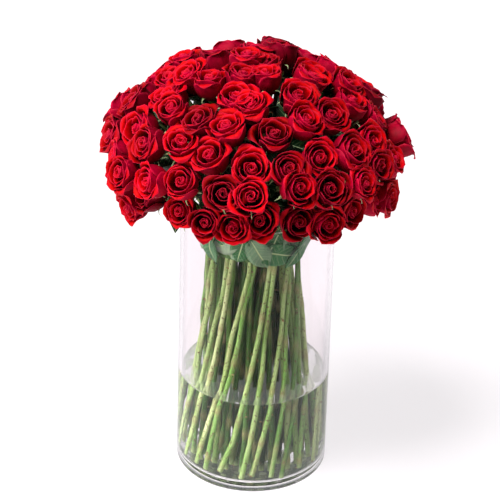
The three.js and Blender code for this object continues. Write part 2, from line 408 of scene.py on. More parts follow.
# %% A geometry tree
class GeometryTree:
    """A Geometry Nodes tree with named inputs."""

    def __init__(self, name, inputs):
        self.group = bpy.data.node_groups.new(name, "GeometryNodeTree")
        self.names = {}
        for label, kind, value in [("Geometry", "NodeSocketGeometry", None), *inputs]:
            item = self.group.interface.new_socket(label, in_out="INPUT", socket_type=kind)
            if value is not None:
                item.default_value = value
            self.names[label] = item.identifier
        self.group.interface.new_socket("Geometry", in_out="OUTPUT", socket_type="NodeSocketGeometry")
        self.start = self.group.nodes.new("NodeGroupInput")
        self.end = self.group.nodes.new("NodeGroupOutput")

    def given(self, label):
        return Flow(self.group, self.start.outputs[label])

    def feed(self, socket, value):
        if isinstance(value, Flow):
            self.group.links.new(value.socket, socket)
        elif isinstance(value, bpy.types.NodeSocket):
            self.group.links.new(value, socket)
        else:
            socket.default_value = value

    def node(self, kind, settings=None, **inputs):
        node = self.group.nodes.new(kind)
        for name, value in (settings or {}).items():
            setattr(node, name, value)
        for name, value in inputs.items():
            self.feed(node.inputs[name.replace("_", " ")], value)
        return node

    def value(self, kind, output=0, **inputs):
        return Flow(self.group, self.node(kind, **inputs).outputs[output])

    def store(self, geometry, name, value):
        """Keeps a value on every point under a name."""
        kept = self.node("GeometryNodeStoreNamedAttribute", {"data_type": "FLOAT", "domain": "POINT"},
                         Geometry=geometry, Name=name, Value=value)
        return kept.outputs[0]

    def read(self, name):
        node = self.node("GeometryNodeInputNamedAttribute", {"data_type": "FLOAT"}, Name=name)
        return Flow(self.group, node.outputs[0])

    def chance(self, spread, number, seed):
        """A random value between -spread and +spread for each number."""
        node = self.node("FunctionNodeRandomValue", {"data_type": "FLOAT"}, ID=number, Seed=seed)
        low, high = [socket for socket in node.inputs if socket.type == "VALUE"][:2]
        low.default_value = -spread
        high.default_value = spread
        return Flow(self.group, node.outputs[1])

    def vector(self, x, y, z):
        return self.node("ShaderNodeCombineXYZ", X=x, Y=y, Z=z).outputs[0]

    def thicken(self, sheet, thickness, first_side=None):
        """Gives a sheet a second side and joins the two; first_side names a value that is 0 on the first."""
        grown = self.node("GeometryNodeExtrudeMesh", Mesh=sheet, Offset_Scale=thickness,
                          Individual=False).outputs[0]
        faces = self.node("GeometryNodeFlipFaces", Mesh=sheet).outputs[0]
        if first_side:
            faces = self.store(faces, first_side, 0.0)
        both = self.node("GeometryNodeJoinGeometry")
        self.feed(both.inputs[0], faces)
        self.feed(both.inputs[0], grown)
        return self.node("GeometryNodeMergeByDistance", Geometry=both.outputs[0], Distance=1e-6).outputs[0]

    def finish(self, geometry, material):
        """The tree ends in Realize Instances and Set Material."""
        real = self.node("GeometryNodeRealizeInstances", Geometry=geometry).outputs[0]
        done = self.node("GeometryNodeSetMaterial", Geometry=real, Material=material).outputs[0]
        self.feed(self.end.inputs[0], done)

    def grow(self, data, values):
        """The tree's result as a plain mesh, from a starting mesh or curve and the values of its inputs."""
        holder = bpy.data.objects.new("holder", data)
        bpy.context.scene.collection.objects.link(holder)
        modifier = holder.modifiers.new("grow", "NODES")
        modifier.node_group = self.group
        for label, value in values.items():
            modifier[self.names[label]] = value
        graph = bpy.context.evaluated_depsgraph_get()
        mesh = bpy.data.meshes.new_from_object(holder.evaluated_get(graph), depsgraph=graph)
        bpy.data.objects.remove(holder)
        return mesh


# %% [markdown]
# ## Velvet petals
# A rose petal is thin, soft and matt. Its inside face is the deeper, warmer red, its back is cooler and
# pinker, and a pale red line is painted along its rolled rim, a painted highlight. Towards the foot of each
# petal the red is painted almost black, a painted shade for the depth of the bloom. Four values stored by
# the bloom's tree carry this: how far up the petal a point is, which face it is on, how near the rim it is,
# and the bloom's own tone. The colour then follows the petal wherever it turns, which a pattern in space
# could not do.

# %% The petal material
def petal_material():
    material, tree, shader = new_material("rose petal velvet", Roughness=0.52, Specular_IOR_Level=0.06,
                                          Sheen_Weight=0.02, Sheen_Roughness=0.4,
                                          Sheen_Tint=(1.0, 0.25, 0.32, 1))
    up = attribute(tree, "up")
    rim = attribute(tree, "rim")
    # Both faces run towards black at the petal's foot: painted shade for the depth of the bloom.
    inside = ramp(tree, up, [(0.30, (0.035, 0.0, 0.001)), (0.62, (0.34, 0.0, 0.002)),
                             (0.86, (0.88, 0.001, 0.003))])
    outside = ramp(tree, up, [(0.0, (0.08, 0.0, 0.003)), (0.45, (0.36, 0.0, 0.012)),
                              (0.95, (0.66, 0.0, 0.046))])
    face = blend_colours(tree, attribute(tree, "outside"), inside, outside)
    mottle = ramp(tree, spots(tree, 150, 3), [(0.30, (0.70, 0.70, 0.70)), (0.65, (1.0, 1.0, 1.0))])
    toned = ramp(tree, attribute(tree, "tone"), [(0.0, (0.36, 0.36, 0.40)), (0.35, (0.80, 0.80, 0.80)),
                                                 (1.0, (1.0, 1.0, 1.0))])
    colour_with_painted_depth_shade = multiply_colours(tree, multiply_colours(tree, face, mottle), toned)
    # A pale red line along the petal's rim: a painted highlight.
    edge = ramp(tree, rim, [(0.95, (0, 0, 0)), (1.0, (0.45, 0.45, 0.45))])
    with_painted_rim_highlight = blend_colours(tree, edge, colour_with_painted_depth_shade, (0.80, 0.02, 0.06, 1))
    tree.links.new(with_painted_rim_highlight, shader.inputs["Base Color"])
    bumped(tree, shader, spots(tree, 900, 2), 0.0004, 0.35)
    return material


velvet = petal_material()

# %% [markdown]
# ## The bloom
# A rose opens in a spiral: each petal stands about 137.5 degrees further round than the one before it, the
# golden angle. The innermost petals are wrapped tight and tall. The outer ones are wider, cup outwards and
# roll their rims back. One could sculpt a bloom and copy it, but then a hundred heads would be alike. One
# tree instead makes every bloom, from a flat grid for each petal, and its inputs and its seed vary the
# heads.

# %% The bloom's tree
GOLDEN_ANGLE = math.radians(137.508)
PETAL_COLUMNS = 11
PETAL_ROWS = 8
PETAL_THICKNESS = 0.0005


def petals_on_points(tree):
    """One flat grid for each petal, with its age, its turn and two chances stored on it."""
    seed = tree.given("Seed")
    count = tree.given("Petals")
    points = tree.node("GeometryNodeMeshLine", Count=count).outputs[0]
    index = tree.value("GeometryNodeInputIndex")
    points = tree.store(points, "age", index / (count - 1.0))
    points = tree.store(points, "turn", index * GOLDEN_ANGLE + tree.chance(0.24, index, seed))
    points = tree.store(points, "tall", tree.chance(1.0, index, seed + 11.0))
    points = tree.store(points, "slack", tree.chance(1.0, index, seed + 23.0))
    grid = tree.node("GeometryNodeMeshGrid", Size_X=2.0, Size_Y=1.0, Vertices_X=PETAL_COLUMNS,
                     Vertices_Y=PETAL_ROWS).outputs[0]
    place = tree.value("GeometryNodeInputPosition")
    flat = tree.node("ShaderNodeSeparateXYZ", Vector=place)
    grid = tree.store(grid, "across", Flow(tree.group, flat.outputs[0]))
    grid = tree.store(grid, "along", Flow(tree.group, flat.outputs[1]) + 0.5)
    copies = tree.node("GeometryNodeInstanceOnPoints", Points=points, Instance=grid).outputs[0]
    return tree.node("GeometryNodeRealizeInstances", Geometry=copies).outputs[0]


def petal_place(tree):
    """Where each point of a petal lies, and how far up the petal it is."""
    age, turn, tall, slack = (tree.read(name) for name in ("age", "turn", "tall", "slack"))
    across, along = tree.read("across"), tree.read("along")
    opening = tree.given("Opening")
    reach = tree.given("Radius") / (opening * 0.16 + 0.90)
    height = tree.given("Height")
    # the petal's outline: lower at its sides, with a small tip in the middle
    tip = ((across * 3.5) ** 2.0 * -1.0).sum("EXPONENT") * 0.08 * age
    up = along * (1.0 - across.size() ** 2.2 * between(0.14, 0.38, age) + tip)
    rim = ((up - 0.50) / 0.50).at_least(0.0)
    lip = ((up - 0.80) / 0.20).at_least(0.0)
    quarter = math.pi / 2
    # how far out: a cup that is wider on the outer petals, then a flared and rolled rim
    belly = ((up / 0.55).at_most(1.0) * quarter).sin() ** 0.62
    loose = ((age - 0.36) / 0.14).at_least(0.0).at_most(1.0)
    cup = reach * (between(0.07, 0.25, age) + loose * 0.22 + age ** 2.0 * 0.28) * (slack * 0.06 + 1.0)
    flare = reach * opening * age ** 2.0 * rim ** 1.4 * (slack * 0.08 + 0.26)
    roll = reach * lip ** 2.0 * age * 0.09
    spiral = reach * across * 0.055 * (1.0 - age * 0.4) * (up + 0.4)
    closing = 1.0 - between(0.20, 0.03, age) * rim * rim
    radius = reach * 0.05 + cup * belly * closing + flare + roll + spiral
    # how high: the inner petals start higher up, and a flared rim droops
    droop = flare * 0.7 * rim + reach * lip * lip * age * 0.20
    seat = height * between(0.14, 0.0, age)
    top = height * (between(0.82, 0.93, loose) + age ** 2.0 * 0.03 + tall * 0.05)
    level = seat + (top - seat) * up - droop
    # how far round: inner petals wrap most of the way, and every petal is narrow at its foot
    half = between(2.4, 1.02, age ** 0.6)
    narrow = between(0.5, 1.0, ((up / 0.45).at_most(1.0) * quarter).sin())
    angle = turn + across * half * narrow
    # a slow wave of the rim, different on every petal
    spot = tree.vector(turn * 3.0 + across * 1.1, up * 1.2, age * 9.0 + tree.given("Seed") * 1.7)
    wave = tree.value("ShaderNodeTexNoise", Vector=spot, Scale=2.3, Detail=1.0) - 0.5
    wave = wave * reach * between(0.10, 0.36, age) * up
    radius = radius + wave
    return tree.vector(radius * angle.cos(), radius * angle.sin(), level + wave * 0.5), up


def bloom_tree():
    tree = GeometryTree("Rose bloom", [
        ("Radius", "NodeSocketFloat", 0.022),
        ("Height", "NodeSocketFloat", 0.040),
        ("Petals", "NodeSocketInt", 26),
        ("Opening", "NodeSocketFloat", 0.6),
        ("Thickness", "NodeSocketFloat", PETAL_THICKNESS),
        ("Tone", "NodeSocketFloat", 0.5),
        ("Seed", "NodeSocketInt", 1),
    ])
    sheets = petals_on_points(tree)
    place, up = petal_place(tree)
    edge = tree.read("across").size().at_least(tree.read("along"))
    sheets = tree.store(sheets, "up", up)
    sheets = tree.store(sheets, "rim", edge)
    sheets = tree.store(sheets, "outside", 1.0)
    shaped = tree.node("GeometryNodeSetPosition", Geometry=sheets, Position=place).outputs[0]
    closed = tree.thicken(shaped, tree.given("Thickness"), "outside")
    toned = tree.store(closed, "tone", tree.given("Tone"))
    smooth = tree.node("GeometryNodeSetShadeSmooth", Geometry=toned).outputs[0]
    tree.finish(smooth, velvet)
    return tree


bloom = bloom_tree()
print("the bloom's tree has", len(bloom.group.nodes), "nodes")

# %% Joining meshes into a piece
def add_piece(name, meshes, slot, *nodes):
    """Joins meshes into one object at the origin and hides the imported parts that it stands for."""
    first = bpy.data.objects.new(name, meshes[0])
    bpy.context.scene.collection.objects.link(first)
    others = []
    for mesh in meshes[1:]:
        other = bpy.data.objects.new("joined", mesh)
        bpy.context.scene.collection.objects.link(other)
        others.append(other)
    if others:
        with bpy.context.temp_override(active_object=first, selected_editable_objects=[first, *others]):
            bpy.ops.object.join()
    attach(first, "root")
    if nodes:
        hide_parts(*nodes)
    return first


def triangles(piece):
    return sum(len(face.vertices) - 2 for face in piece.data.polygons)


# %% The blooms
PETALS_FEWEST = 14
PETALS_SPREAD = 5
BLOOM_SWELL = 1.27
SWELL_SPREAD = 0.22
BLOOM_RISE = 1.12
NOD = 16


def bloom_radius(rose):
    """Halfway between the room that a bloom has and its full size: in the bunch, petals press together."""
    pressed = (rose["radius"] + BLOOM_RADIUS * rose["size"]) / 2
    return pressed * (BLOOM_SWELL + SWELL_SPREAD * scatter(rose["number"], "swell"))


def bloom_mesh(rose):
    """One bloom, grown at the origin and then set on its stem."""
    mesh = bloom.grow(bpy.data.meshes.new("seed"), {
        "Radius": bloom_radius(rose),
        "Height": rose["length"] * BLOOM_RISE,
        "Petals": PETALS_FEWEST + round(PETALS_SPREAD * (scatter(rose["number"], "petals") + 0.5)),
        "Opening": 0.55 + 0.9 * scatter(rose["number"], "opening"),
        "Tone": 0.5 + scatter(rose["number"], "tone"),
        "Seed": rose["number"],
    })
    turn = rose["axis"].to_track_quat("Z", "Y").to_matrix().to_4x4()
    nod = Matrix.Rotation(math.radians(NOD) * 2 * scatter(rose["number"], "nod"), 4, "X")
    lean = Matrix.Rotation(math.radians(NOD) * 2 * scatter(rose["number"], "lean"), 4, "Y")
    spin = Matrix.Rotation(rose["number"] * GOLDEN_ANGLE, 4, "Z")
    mesh.transform(Matrix.Translation(rose["base"]) @ turn @ nod @ lean @ spin)
    return mesh


bloom_triangles = 0
for label, pair in pairs:
    piece = add_piece(f"rose_blooms_{label}", [bloom_mesh(rose) for rose in pair], "rose_petal",
                      f"rose_pair_{label}")
    bloom_triangles += triangles(piece)
print("the blooms have", bloom_triangles, "triangles in", len(pairs), "pieces")

# %% [markdown]
# ## Stems
# A cut rose's stem is a round green rod, a little thicker where a leaf grew, with a few thorns and brown
# scars, and it is never quite straight. So a tree first cuts the stem's path into a few straight lengths
# and shifts their ends, then sweeps a round section along it, swells it at even steps and puts thorns on
# it. A skin modifier would also do, but it gives no say over the thorns.

# %% The path of a stem
WAIST_HEIGHT = 0.335
FLARE = 1.55
FLARE_POWER = 1.6
TWIST_ABOVE = 14
CLIMB = 0.5
ARRIVE = 0.3
MATE_SPACING = 0.0046
FOOT_LOWEST = 0.0165
FOOT_SPREAD = 0.008
FOOT_SHIFT = 0.0022
FOOT_SWING = 0.6
STEM_RADIUS = 0.0032
STEPS_BELOW = 14
STEPS_ABOVE = 12


def lower_path(rose, depth):
    """From the tie down to the foot, where depth is 1: the bunch opens and turns on the way."""
    number = rose["number"]
    waist = rose["ring"]["waist"]
    at_waist = rose["pair middle"] - math.radians(TWIST_ABOVE) + rose["mate side"] * MATE_SPACING / 2 / waist
    at_foot = (rose["level"] - math.radians(TWIST_ABOVE + rose["ring"]["twist"])
               + rose["spacing"] * FOOT_SWING * scatter(number, "foot swing"))
    foot = FOOT_LOWEST + FOOT_SPREAD * (scatter(number, "foot height") + 0.5)
    radius = waist * math.sqrt(1 + (FLARE**2 - 1) * depth**FLARE_POWER)
    radius += FOOT_SHIFT * scatter(number, "foot shift") * depth
    return bunch_point(between(at_waist, at_foot, depth), radius, between(WAIST_HEIGHT, foot, depth))


def upper_path(rose, climb):
    """From the tie up into the bloom, leaving straight up and arriving along the bloom's axis."""
    waist = rose["ring"]["waist"]
    at_waist = rose["pair middle"] - math.radians(TWIST_ABOVE) + rose["mate side"] * MATE_SPACING / 2 / waist
    foot = Vector((waist, WAIST_HEIGHT))
    top = Vector((rose["base radius"], rose["base height"]))
    way = (top - foot).length
    leaving = foot + Vector((0, CLIMB * way))
    arriving = top - Vector((math.cos(rose["rise"]), math.sin(rose["rise"]))) * ARRIVE * way
    rest = 1 - climb
    point = foot * rest**3 + leaving * 3 * rest**2 * climb + arriving * 3 * rest * climb**2 + top * climb**3
    return bunch_point(between(at_waist, rose["angle"], climb), point.x, point.y)


def stem_path(rose):
    lower = [lower_path(rose, 1 - step / STEPS_BELOW) for step in range(STEPS_BELOW)]
    upper = [upper_path(rose, step / STEPS_ABOVE) for step in range(STEPS_ABOVE + 1)]
    return lower + upper


def stem_curves(pair):
    curve = bpy.data.curves.new("stems", "CURVE")
    curve.dimensions = "3D"
    for rose in pair:
        path = stem_path(rose)
        spline = curve.splines.new("POLY")
        spline.points.add(len(path) - 1)
        for point, place in zip(spline.points, path):
            point.co = (*place, 1)
    return curve


# %% The stem's material
def stem_material():
    material, tree, shader = new_material("rose stem", Roughness=0.42, Specular_IOR_Level=0.20)
    tone = attribute(tree, "tone")
    # A low tone runs to near-black green: on the inner rings this is painted shade. Tone also differs at
    # random from stem to stem.
    young = ramp(tree, tone, [(0.0, (0.010, 0.030, 0.006)), (0.45, (0.055, 0.150, 0.025)),
                              (0.75, (0.14, 0.30, 0.055)), (1.0, (0.26, 0.38, 0.11))])
    woody = ramp(tree, tone, [(0.0, (0.016, 0.040, 0.010)), (0.45, (0.10, 0.20, 0.05)),
                              (0.75, (0.27, 0.40, 0.13)), (1.0, (0.50, 0.56, 0.27))])
    streaks = ramp(tree, spots(tree, 60, 4, 0.6, (1, 1, 0.15)), [(0.38, (0, 0, 0)), (0.66, (1, 1, 1))])
    skin = blend_colours(tree, streaks, young, woody)
    bark = ramp(tree, spots(tree, 34, 3, 0.6, (1, 1, 0.5)), [(0.60, (0, 0, 0)), (0.70, (0.55, 0.55, 0.55))])
    barked = blend_colours(tree, bark, skin, (0.34, 0.30, 0.16, 1))
    scars = ramp(tree, spots(tree, 300, 2, 0.5), [(0.59, (0, 0, 0)), (0.65, (0.95, 0.95, 0.95))])
    scarred = blend_colours(tree, scars, barked, (0.11, 0.075, 0.03, 1))
    nodes = blend_colours(tree, attribute(tree, "node"), scarred, (0.27, 0.22, 0.10, 1))
    thorny = blend_colours(tree, attribute(tree, "thorn"), nodes, (0.24, 0.17, 0.07, 1))
    cut = blend_colours(tree, attribute(tree, "cut"), thorny, (0.26, 0.34, 0.15, 1))
    tree.links.new(cut, shader.inputs["Base Color"])
    bumped(tree, shader, spots(tree, 300, 2, 0.5, (1, 1, 0.1)), 0.0006, 0.4)
    return material


stem_green = stem_material()

# %% The stem's tree
STEM_RINGS = 44
STEM_SIDES = 8
STEM_KINKS = 10
STEM_DRIFT = 0.011
NODES = 6
NODE_LENGTH = 0.035
THORNS = 7
THORN_LENGTH = 0.0050
THORN_TILT = 78
STEM_TONE_SPREAD = 0.22


def stem_tree():
    tree = GeometryTree("Rose stem", [
        ("Radius", "NodeSocketFloat", STEM_RADIUS),
        ("Thorns", "NodeSocketInt", THORNS),
        ("Thorn length", "NodeSocketFloat", THORN_LENGTH),
        ("Drift", "NodeSocketFloat", STEM_DRIFT),
        ("Tone", "NodeSocketFloat", 0.5),
        ("Seed", "NodeSocketInt", 1),
    ])
    radius = tree.given("Radius")
    seed = tree.given("Seed")
    which = tree.value("GeometryNodeCurveOfPoint")
    coarse = tree.node("GeometryNodeResampleCurve", Curve=tree.given("Geometry"), Count=STEM_KINKS).outputs[0]
    spot = tree.value("GeometryNodeInputPosition")
    drift = tree.node("ShaderNodeTexNoise", {"noise_dimensions": "4D"}, Vector=spot, W=(which + seed) * 3.7,
                      Scale=30.0, Detail=0.0).outputs["Color"]
    centred = tree.node("ShaderNodeVectorMath", {"operation": "SUBTRACT"})
    tree.feed(centred.inputs[0], drift)
    centred.inputs[1].default_value = (0.5, 0.5, 0.5)
    shift = tree.node("ShaderNodeVectorMath", {"operation": "SCALE"}, Scale=tree.given("Drift"))
    tree.feed(shift.inputs[0], centred.outputs[0])
    path = tree.node("GeometryNodeSetPosition", Geometry=coarse, Offset=shift.outputs[0]).outputs[0]
    even = tree.node("GeometryNodeResampleCurve", Curve=path, Count=STEM_RINGS).outputs[0]
    along = tree.value("GeometryNodeSplineParameter")
    beat = (along * float(NODES) + (which * 0.5 + seed) * 0.37).sum("FRACT") - 0.5
    swelling = ((beat / (NODE_LENGTH * 2)) ** 2.0 * -1.0).sum("EXPONENT")
    even = tree.store(even, "node", swelling * 0.75)
    # The given tone holds painted shade for the inner rings; the chance adds a random tone to each stem.
    even = tree.store(even, "tone", tree.given("Tone") + tree.chance(STEM_TONE_SPREAD, which, seed + 9.0))
    even = tree.store(even, "cut", ((0.004 - along) * 1000.0).at_least(0.0).at_most(1.0))
    section = tree.node("GeometryNodeCurvePrimitiveCircle", {"mode": "RADIUS"}, Resolution=STEM_SIDES,
                        Radius=radius).outputs[0]
    taper = between(1.08, 0.82, along) + swelling * 0.26
    rod = tree.node("GeometryNodeCurveToMesh", Curve=even, Profile_Curve=section, Scale=taper,
                    Fill_Caps=True).outputs[0]
    rod = tree.node("GeometryNodeSetShadeSmooth", Geometry=rod).outputs[0]
    places = tree.node("GeometryNodeCurveToPoints", {"mode": "COUNT"}, Curve=path, Count=tree.given("Thorns"))
    index = tree.value("GeometryNodeInputIndex")
    shape = tree.node("GeometryNodeMeshCone", Vertices=6, Side_Segments=2, Radius_Top=0.00005,
                      Radius_Bottom=radius * 0.5, Depth=tree.given("Thorn length")).outputs[0]
    lift = tree.node("GeometryNodeTransform", Geometry=shape,
                     Translation=tree.vector(0.0, 0.0, radius * 0.72)).outputs[0]
    lean = tree.node("GeometryNodeTransform", Geometry=lift,
                     Rotation=(math.radians(THORN_TILT), 0, 0)).outputs[0]
    turn = tree.node("FunctionNodeAxisAngleToRotation", Axis=(0, 0, 1),
                     Angle=index * GOLDEN_ANGLE + tree.chance(0.8, index, seed)).outputs[0]
    facing = tree.node("FunctionNodeRotateRotation", {"rotation_space": "LOCAL"},
                       Rotation=places.outputs["Rotation"], Rotate_By=turn).outputs[0]
    size = tree.chance(0.35, index, seed + 5.0) + 0.85
    thorns = tree.node("GeometryNodeInstanceOnPoints", Points=places.outputs["Points"], Instance=lean,
                       Rotation=facing, Scale=tree.vector(size, size, size)).outputs[0]
    thorns = tree.node("GeometryNodeRealizeInstances", Geometry=thorns).outputs[0]
    thorns = tree.store(thorns, "thorn", 1.0)
    thorns = tree.store(thorns, "tone", tree.given("Tone"))
    both = tree.node("GeometryNodeJoinGeometry")
    tree.feed(both.inputs[0], thorns)
    tree.feed(both.inputs[0], rod)
    tree.finish(both.outputs[0], stem_green)
    return tree


stem = stem_tree()

# %% [markdown]
# ## Calyx and sepals
# Under each bloom sits a small green cup, the calyx, with five narrow pointed sepals that curl back as the
# bloom opens. They show between the heads as little pale green hooks. Each sepal is a small sheet bent by a
# formula in plain Python: with only five of them on a calyx, a loop is shorter than a tree.

# %% A mesh made of sheets
class SheetMesh:
    """Collects closed sheets and turned shapes, with named values on their points."""

    def __init__(self, names):
        self.points = []
        self.faces = []
        self.values = {name: [] for name in names}

    def add_point(self, point, values):
        self.points.append(point)
        for name, kept in self.values.items():
            kept.append(values.get(name, 0))
        return len(self.points) - 1

    def sheet(self, shape, rows, columns, thickness):
        """shape(along, across) gives a point and its values; across runs from -1 to 1."""
        grids = []
        for side in (1, -1):
            grid = []
            for i in range(rows + 1):
                for j in range(columns + 1):
                    along, across = i / rows, 2 * j / columns - 1
                    point, values = shape(along, across)
                    step = 0.01
                    way_up = shape(min(along + step, 1), across)[0] - shape(max(along - step, 0), across)[0]
                    way_side = (shape(along, min(across + step, 1))[0]
                                - shape(along, max(across - step, -1))[0])
                    normal = way_side.cross(way_up)
                    if normal.length > 0:
                        normal.normalize()
                    values = {**values, "outside": 0 if side > 0 else 1}
                    grid.append(self.add_point(point + normal * side * thickness / 2, values))
            grids.append(grid)
        wide = columns + 1
        for i in range(rows):
            for j in range(columns):
                corner = i * wide + j
                ring = [corner, corner + 1, corner + wide + 1, corner + wide]
                self.faces.append([grids[0][k] for k in ring])
                self.faces.append([grids[1][k] for k in reversed(ring)])
        edge = list(range(columns))
        edge += [i * wide + columns for i in range(rows)]
        edge += [rows * wide + j for j in range(columns, 0, -1)]
        edge += [i * wide for i in range(rows, 0, -1)]
        for k, here in enumerate(edge):
            there = edge[(k + 1) % len(edge)]
            self.faces.append([grids[0][there], grids[0][here], grids[1][here], grids[1][there]])

    def turned(self, profile, sides, place, values):
        """A shape turned round its own Z, from (radius, height) pairs that start and end on the axis."""
        rings = []
        for radius, height in profile:
            if radius == 0:
                rings.append([self.add_point(place @ Vector((0, 0, height)), values)] * sides)
                continue
            ring = []
            for k in range(sides):
                angle = 2 * math.pi * k / sides
                spot = Vector((radius * math.cos(angle), radius * math.sin(angle), height))
                ring.append(self.add_point(place @ spot, values))
            rings.append(ring)
        for low, high in zip(rings, rings[1:]):
            for k in range(sides):
                after = (k + 1) % sides
                face = [low[k], low[after], high[after], high[k]]
                self.faces.append(list(dict.fromkeys(face)))

    def mesh(self, name, material):
        mesh = bpy.data.meshes.new(name)
        mesh.from_pydata([tuple(point) for point in self.points], [], self.faces)
        for value, kept in self.values.items():
            layer = mesh.attributes.new(value, "FLOAT", "POINT")
            layer.data.foreach_set("value", kept)
        mesh.materials.append(material)
        mesh.shade_smooth()
        return mesh


# %% The calyx material
def calyx_material():
    material, tree, shader = new_material("rose calyx", Roughness=0.5)
    skin = ramp(tree, spots(tree, 240, 3), [(0.3, (0.10, 0.22, 0.03)), (0.7, (0.24, 0.40, 0.08))])
    towards_tip = ramp(tree, attribute(tree, "up"), [(0.35, (0, 0, 0)), (1.0, (0.8, 0.8, 0.8))])
    tipped = blend_colours(tree, towards_tip, skin, (0.62, 0.66, 0.38, 1))
    faced = blend_colours(tree, attribute(tree, "outside"), (0.50, 0.60, 0.32, 1), tipped)
    tree.links.new(faced, shader.inputs["Base Color"])
    bumped(tree, shader, spots(tree, 700, 2), 0.0005, 0.4)
    return material


calyx_green = calyx_material()

# %% Calyxes and stems
# Stems of the inner rings are painted darker, down to almost black, a painted shade for the inside of the
# bunch; the outermost ring is lightest. The spread on top differs at random.
INNER_RING_PAINTED_SHADE_TONE = 0.0
OUTER_RING_PAINTED_LIGHT_TONE = 0.86
TONE_SPREAD = 0.62
SEPALS = 5
SEPAL_LENGTH = 0.026
SEPAL_WIDTH = 0.0052
SEPAL_THICKNESS = 0.0006
SEPAL_FOOT = (0.0055, 0.0035)
SEPAL_RISE = 65
SEPAL_STRAIGHT = 0.25
SEPAL_STEPS = 8
CALYX_PROFILE = [(0, -0.0035), (0.0032, -0.0030), (0.0058, -0.0005), (0.0070, 0.0030), (0.0066, 0.0062),
                 (0.0050, 0.0078), (0, 0.0080)]


def sepal_shape(rose, number, place):
    """A narrow pointed blade that leaves the calyx, follows the bloom's foot and curls back at its tip."""
    lot = scatter(rose["number"] * SEPALS + number, "opening")
    turn = 2 * math.pi * number / SEPALS + lot * 0.5
    curl = math.radians(150 + 120 * lot)
    out = Vector((math.cos(turn), math.sin(turn), 0))
    side = Vector((-math.sin(turn), math.cos(turn), 0))

    def shape(along, across):
        radius, height = SEPAL_FOOT
        for step in range(SEPAL_STEPS):
            part = along * (step + 0.5) / SEPAL_STEPS
            bent = max(part - SEPAL_STRAIGHT, 0) / (1 - SEPAL_STRAIGHT)
            lean = math.radians(SEPAL_RISE) - curl * bent**1.4
            radius += math.cos(lean) * SEPAL_LENGTH * along / SEPAL_STEPS
            height += math.sin(lean) * SEPAL_LENGTH * along / SEPAL_STEPS
        wide = SEPAL_WIDTH * (1 - along) ** 0.8 * (1 + 0.5 * math.sin(along * 9 + number))
        wide = max(wide, 0.0004)
        point = out * (radius + abs(across) * wide * 0.15) + side * across * wide / 2
        point += Vector((0, 0, height + abs(across) * wide * 0.12))
        return place @ point, {"up": along}

    return shape


def calyx_mesh(rose):
    turn = rose["axis"].to_track_quat("Z", "Y").to_matrix().to_4x4()
    place = Matrix.Translation(rose["base"]) @ turn
    sheets = SheetMesh(["up", "outside"])
    sheets.turned(CALYX_PROFILE, 12, place, {"outside": 1})
    for number in range(SEPALS):
        sheets.sheet(sepal_shape(rose, number, place), 7, 2, SEPAL_THICKNESS)
    return sheets.mesh("calyx", calyx_green)


green_triangles = 0
for label, pair in pairs:
    depth = RINGS.index(pair[0]["ring"]) / (len(RINGS) - 1)
    # Inner rings get a darker tone, a painted shade for the inside of the bunch, and every pair a random
    # spread.
    tone = between(INNER_RING_PAINTED_SHADE_TONE, OUTER_RING_PAINTED_LIGHT_TONE, depth**3) + TONE_SPREAD * scatter(int(label), "stem tone")
    stems = stem.grow(stem_curves(pair), {"Seed": int(label), "Tone": tone})
    greens = [stems, *(calyx_mesh(rose) for rose in pair)]
    piece = add_piece(f"rose_stems_{label}", greens, "rose_stem", f"rose_pair_{label}")
    green_triangles += triangles(piece)
print("the stems and calyxes have", green_triangles, "triangles")

# %% [markdown]
# ## Leaves
# The florist strips the leaves from the lower stems and leaves a few under the blooms, where they fill the
# vase's mouth. A rose leaf is a pointed oval with saw teeth, a pale midrib, side veins that sink into the
# blade, and a paler, greyer underside. It is one sheet bent by a formula round the bunch.

# %% The leaf material
LEAF_VEINS = 9.0
LEAF_VEIN_SLANT = 1.6


def leaf_material():
    material, tree, shader = new_material("rose leaf", Roughness=0.40, Specular_IOR_Level=0.25)
    across = Flow(tree, attribute(tree, "across"))
    along = Flow(tree, attribute(tree, "along"))
    away = across.size()
    slanted = along * LEAF_VEINS - away * LEAF_VEIN_SLANT
    beat = (slanted.sum("FRACT") - 0.5).size()
    side_vein = ramp(tree, beat.socket, [(0.0, (1, 1, 1)), (0.09, (0, 0, 0))])
    midrib = ramp(tree, away.socket, [(0.03, (1, 1, 1)), (0.09, (0, 0, 0))])
    veins = (Flow(tree, side_vein) * 0.45).at_least(Flow(tree, midrib))
    top = ramp(tree, spots(tree, 45, 3), [(0.3, (0.012, 0.085, 0.022)), (0.7, (0.035, 0.170, 0.045))])
    under = ramp(tree, spots(tree, 45, 3), [(0.3, (0.20, 0.30, 0.19)), (0.7, (0.34, 0.43, 0.28))])
    lit = blend_colours(tree, attribute(tree, "pale"), top, under)
    # Leaves inside the dome are darkened: painted shade.
    painted_shade_tint = ramp(tree, attribute(tree, "painted_shade_depth"), [(0.0, (1, 1, 1)), (1.0, (0.28, 0.28, 0.30))])
    blade = multiply_colours(tree, lit, painted_shade_tint)
    veined = blend_colours(tree, veins.socket, blade, (0.42, 0.52, 0.26, 1))
    tree.links.new(veined, shader.inputs["Base Color"])
    bumped(tree, shader, (veins * -1.0).socket, 0.0012, 0.5)
    return material


leaf_green = leaf_material()

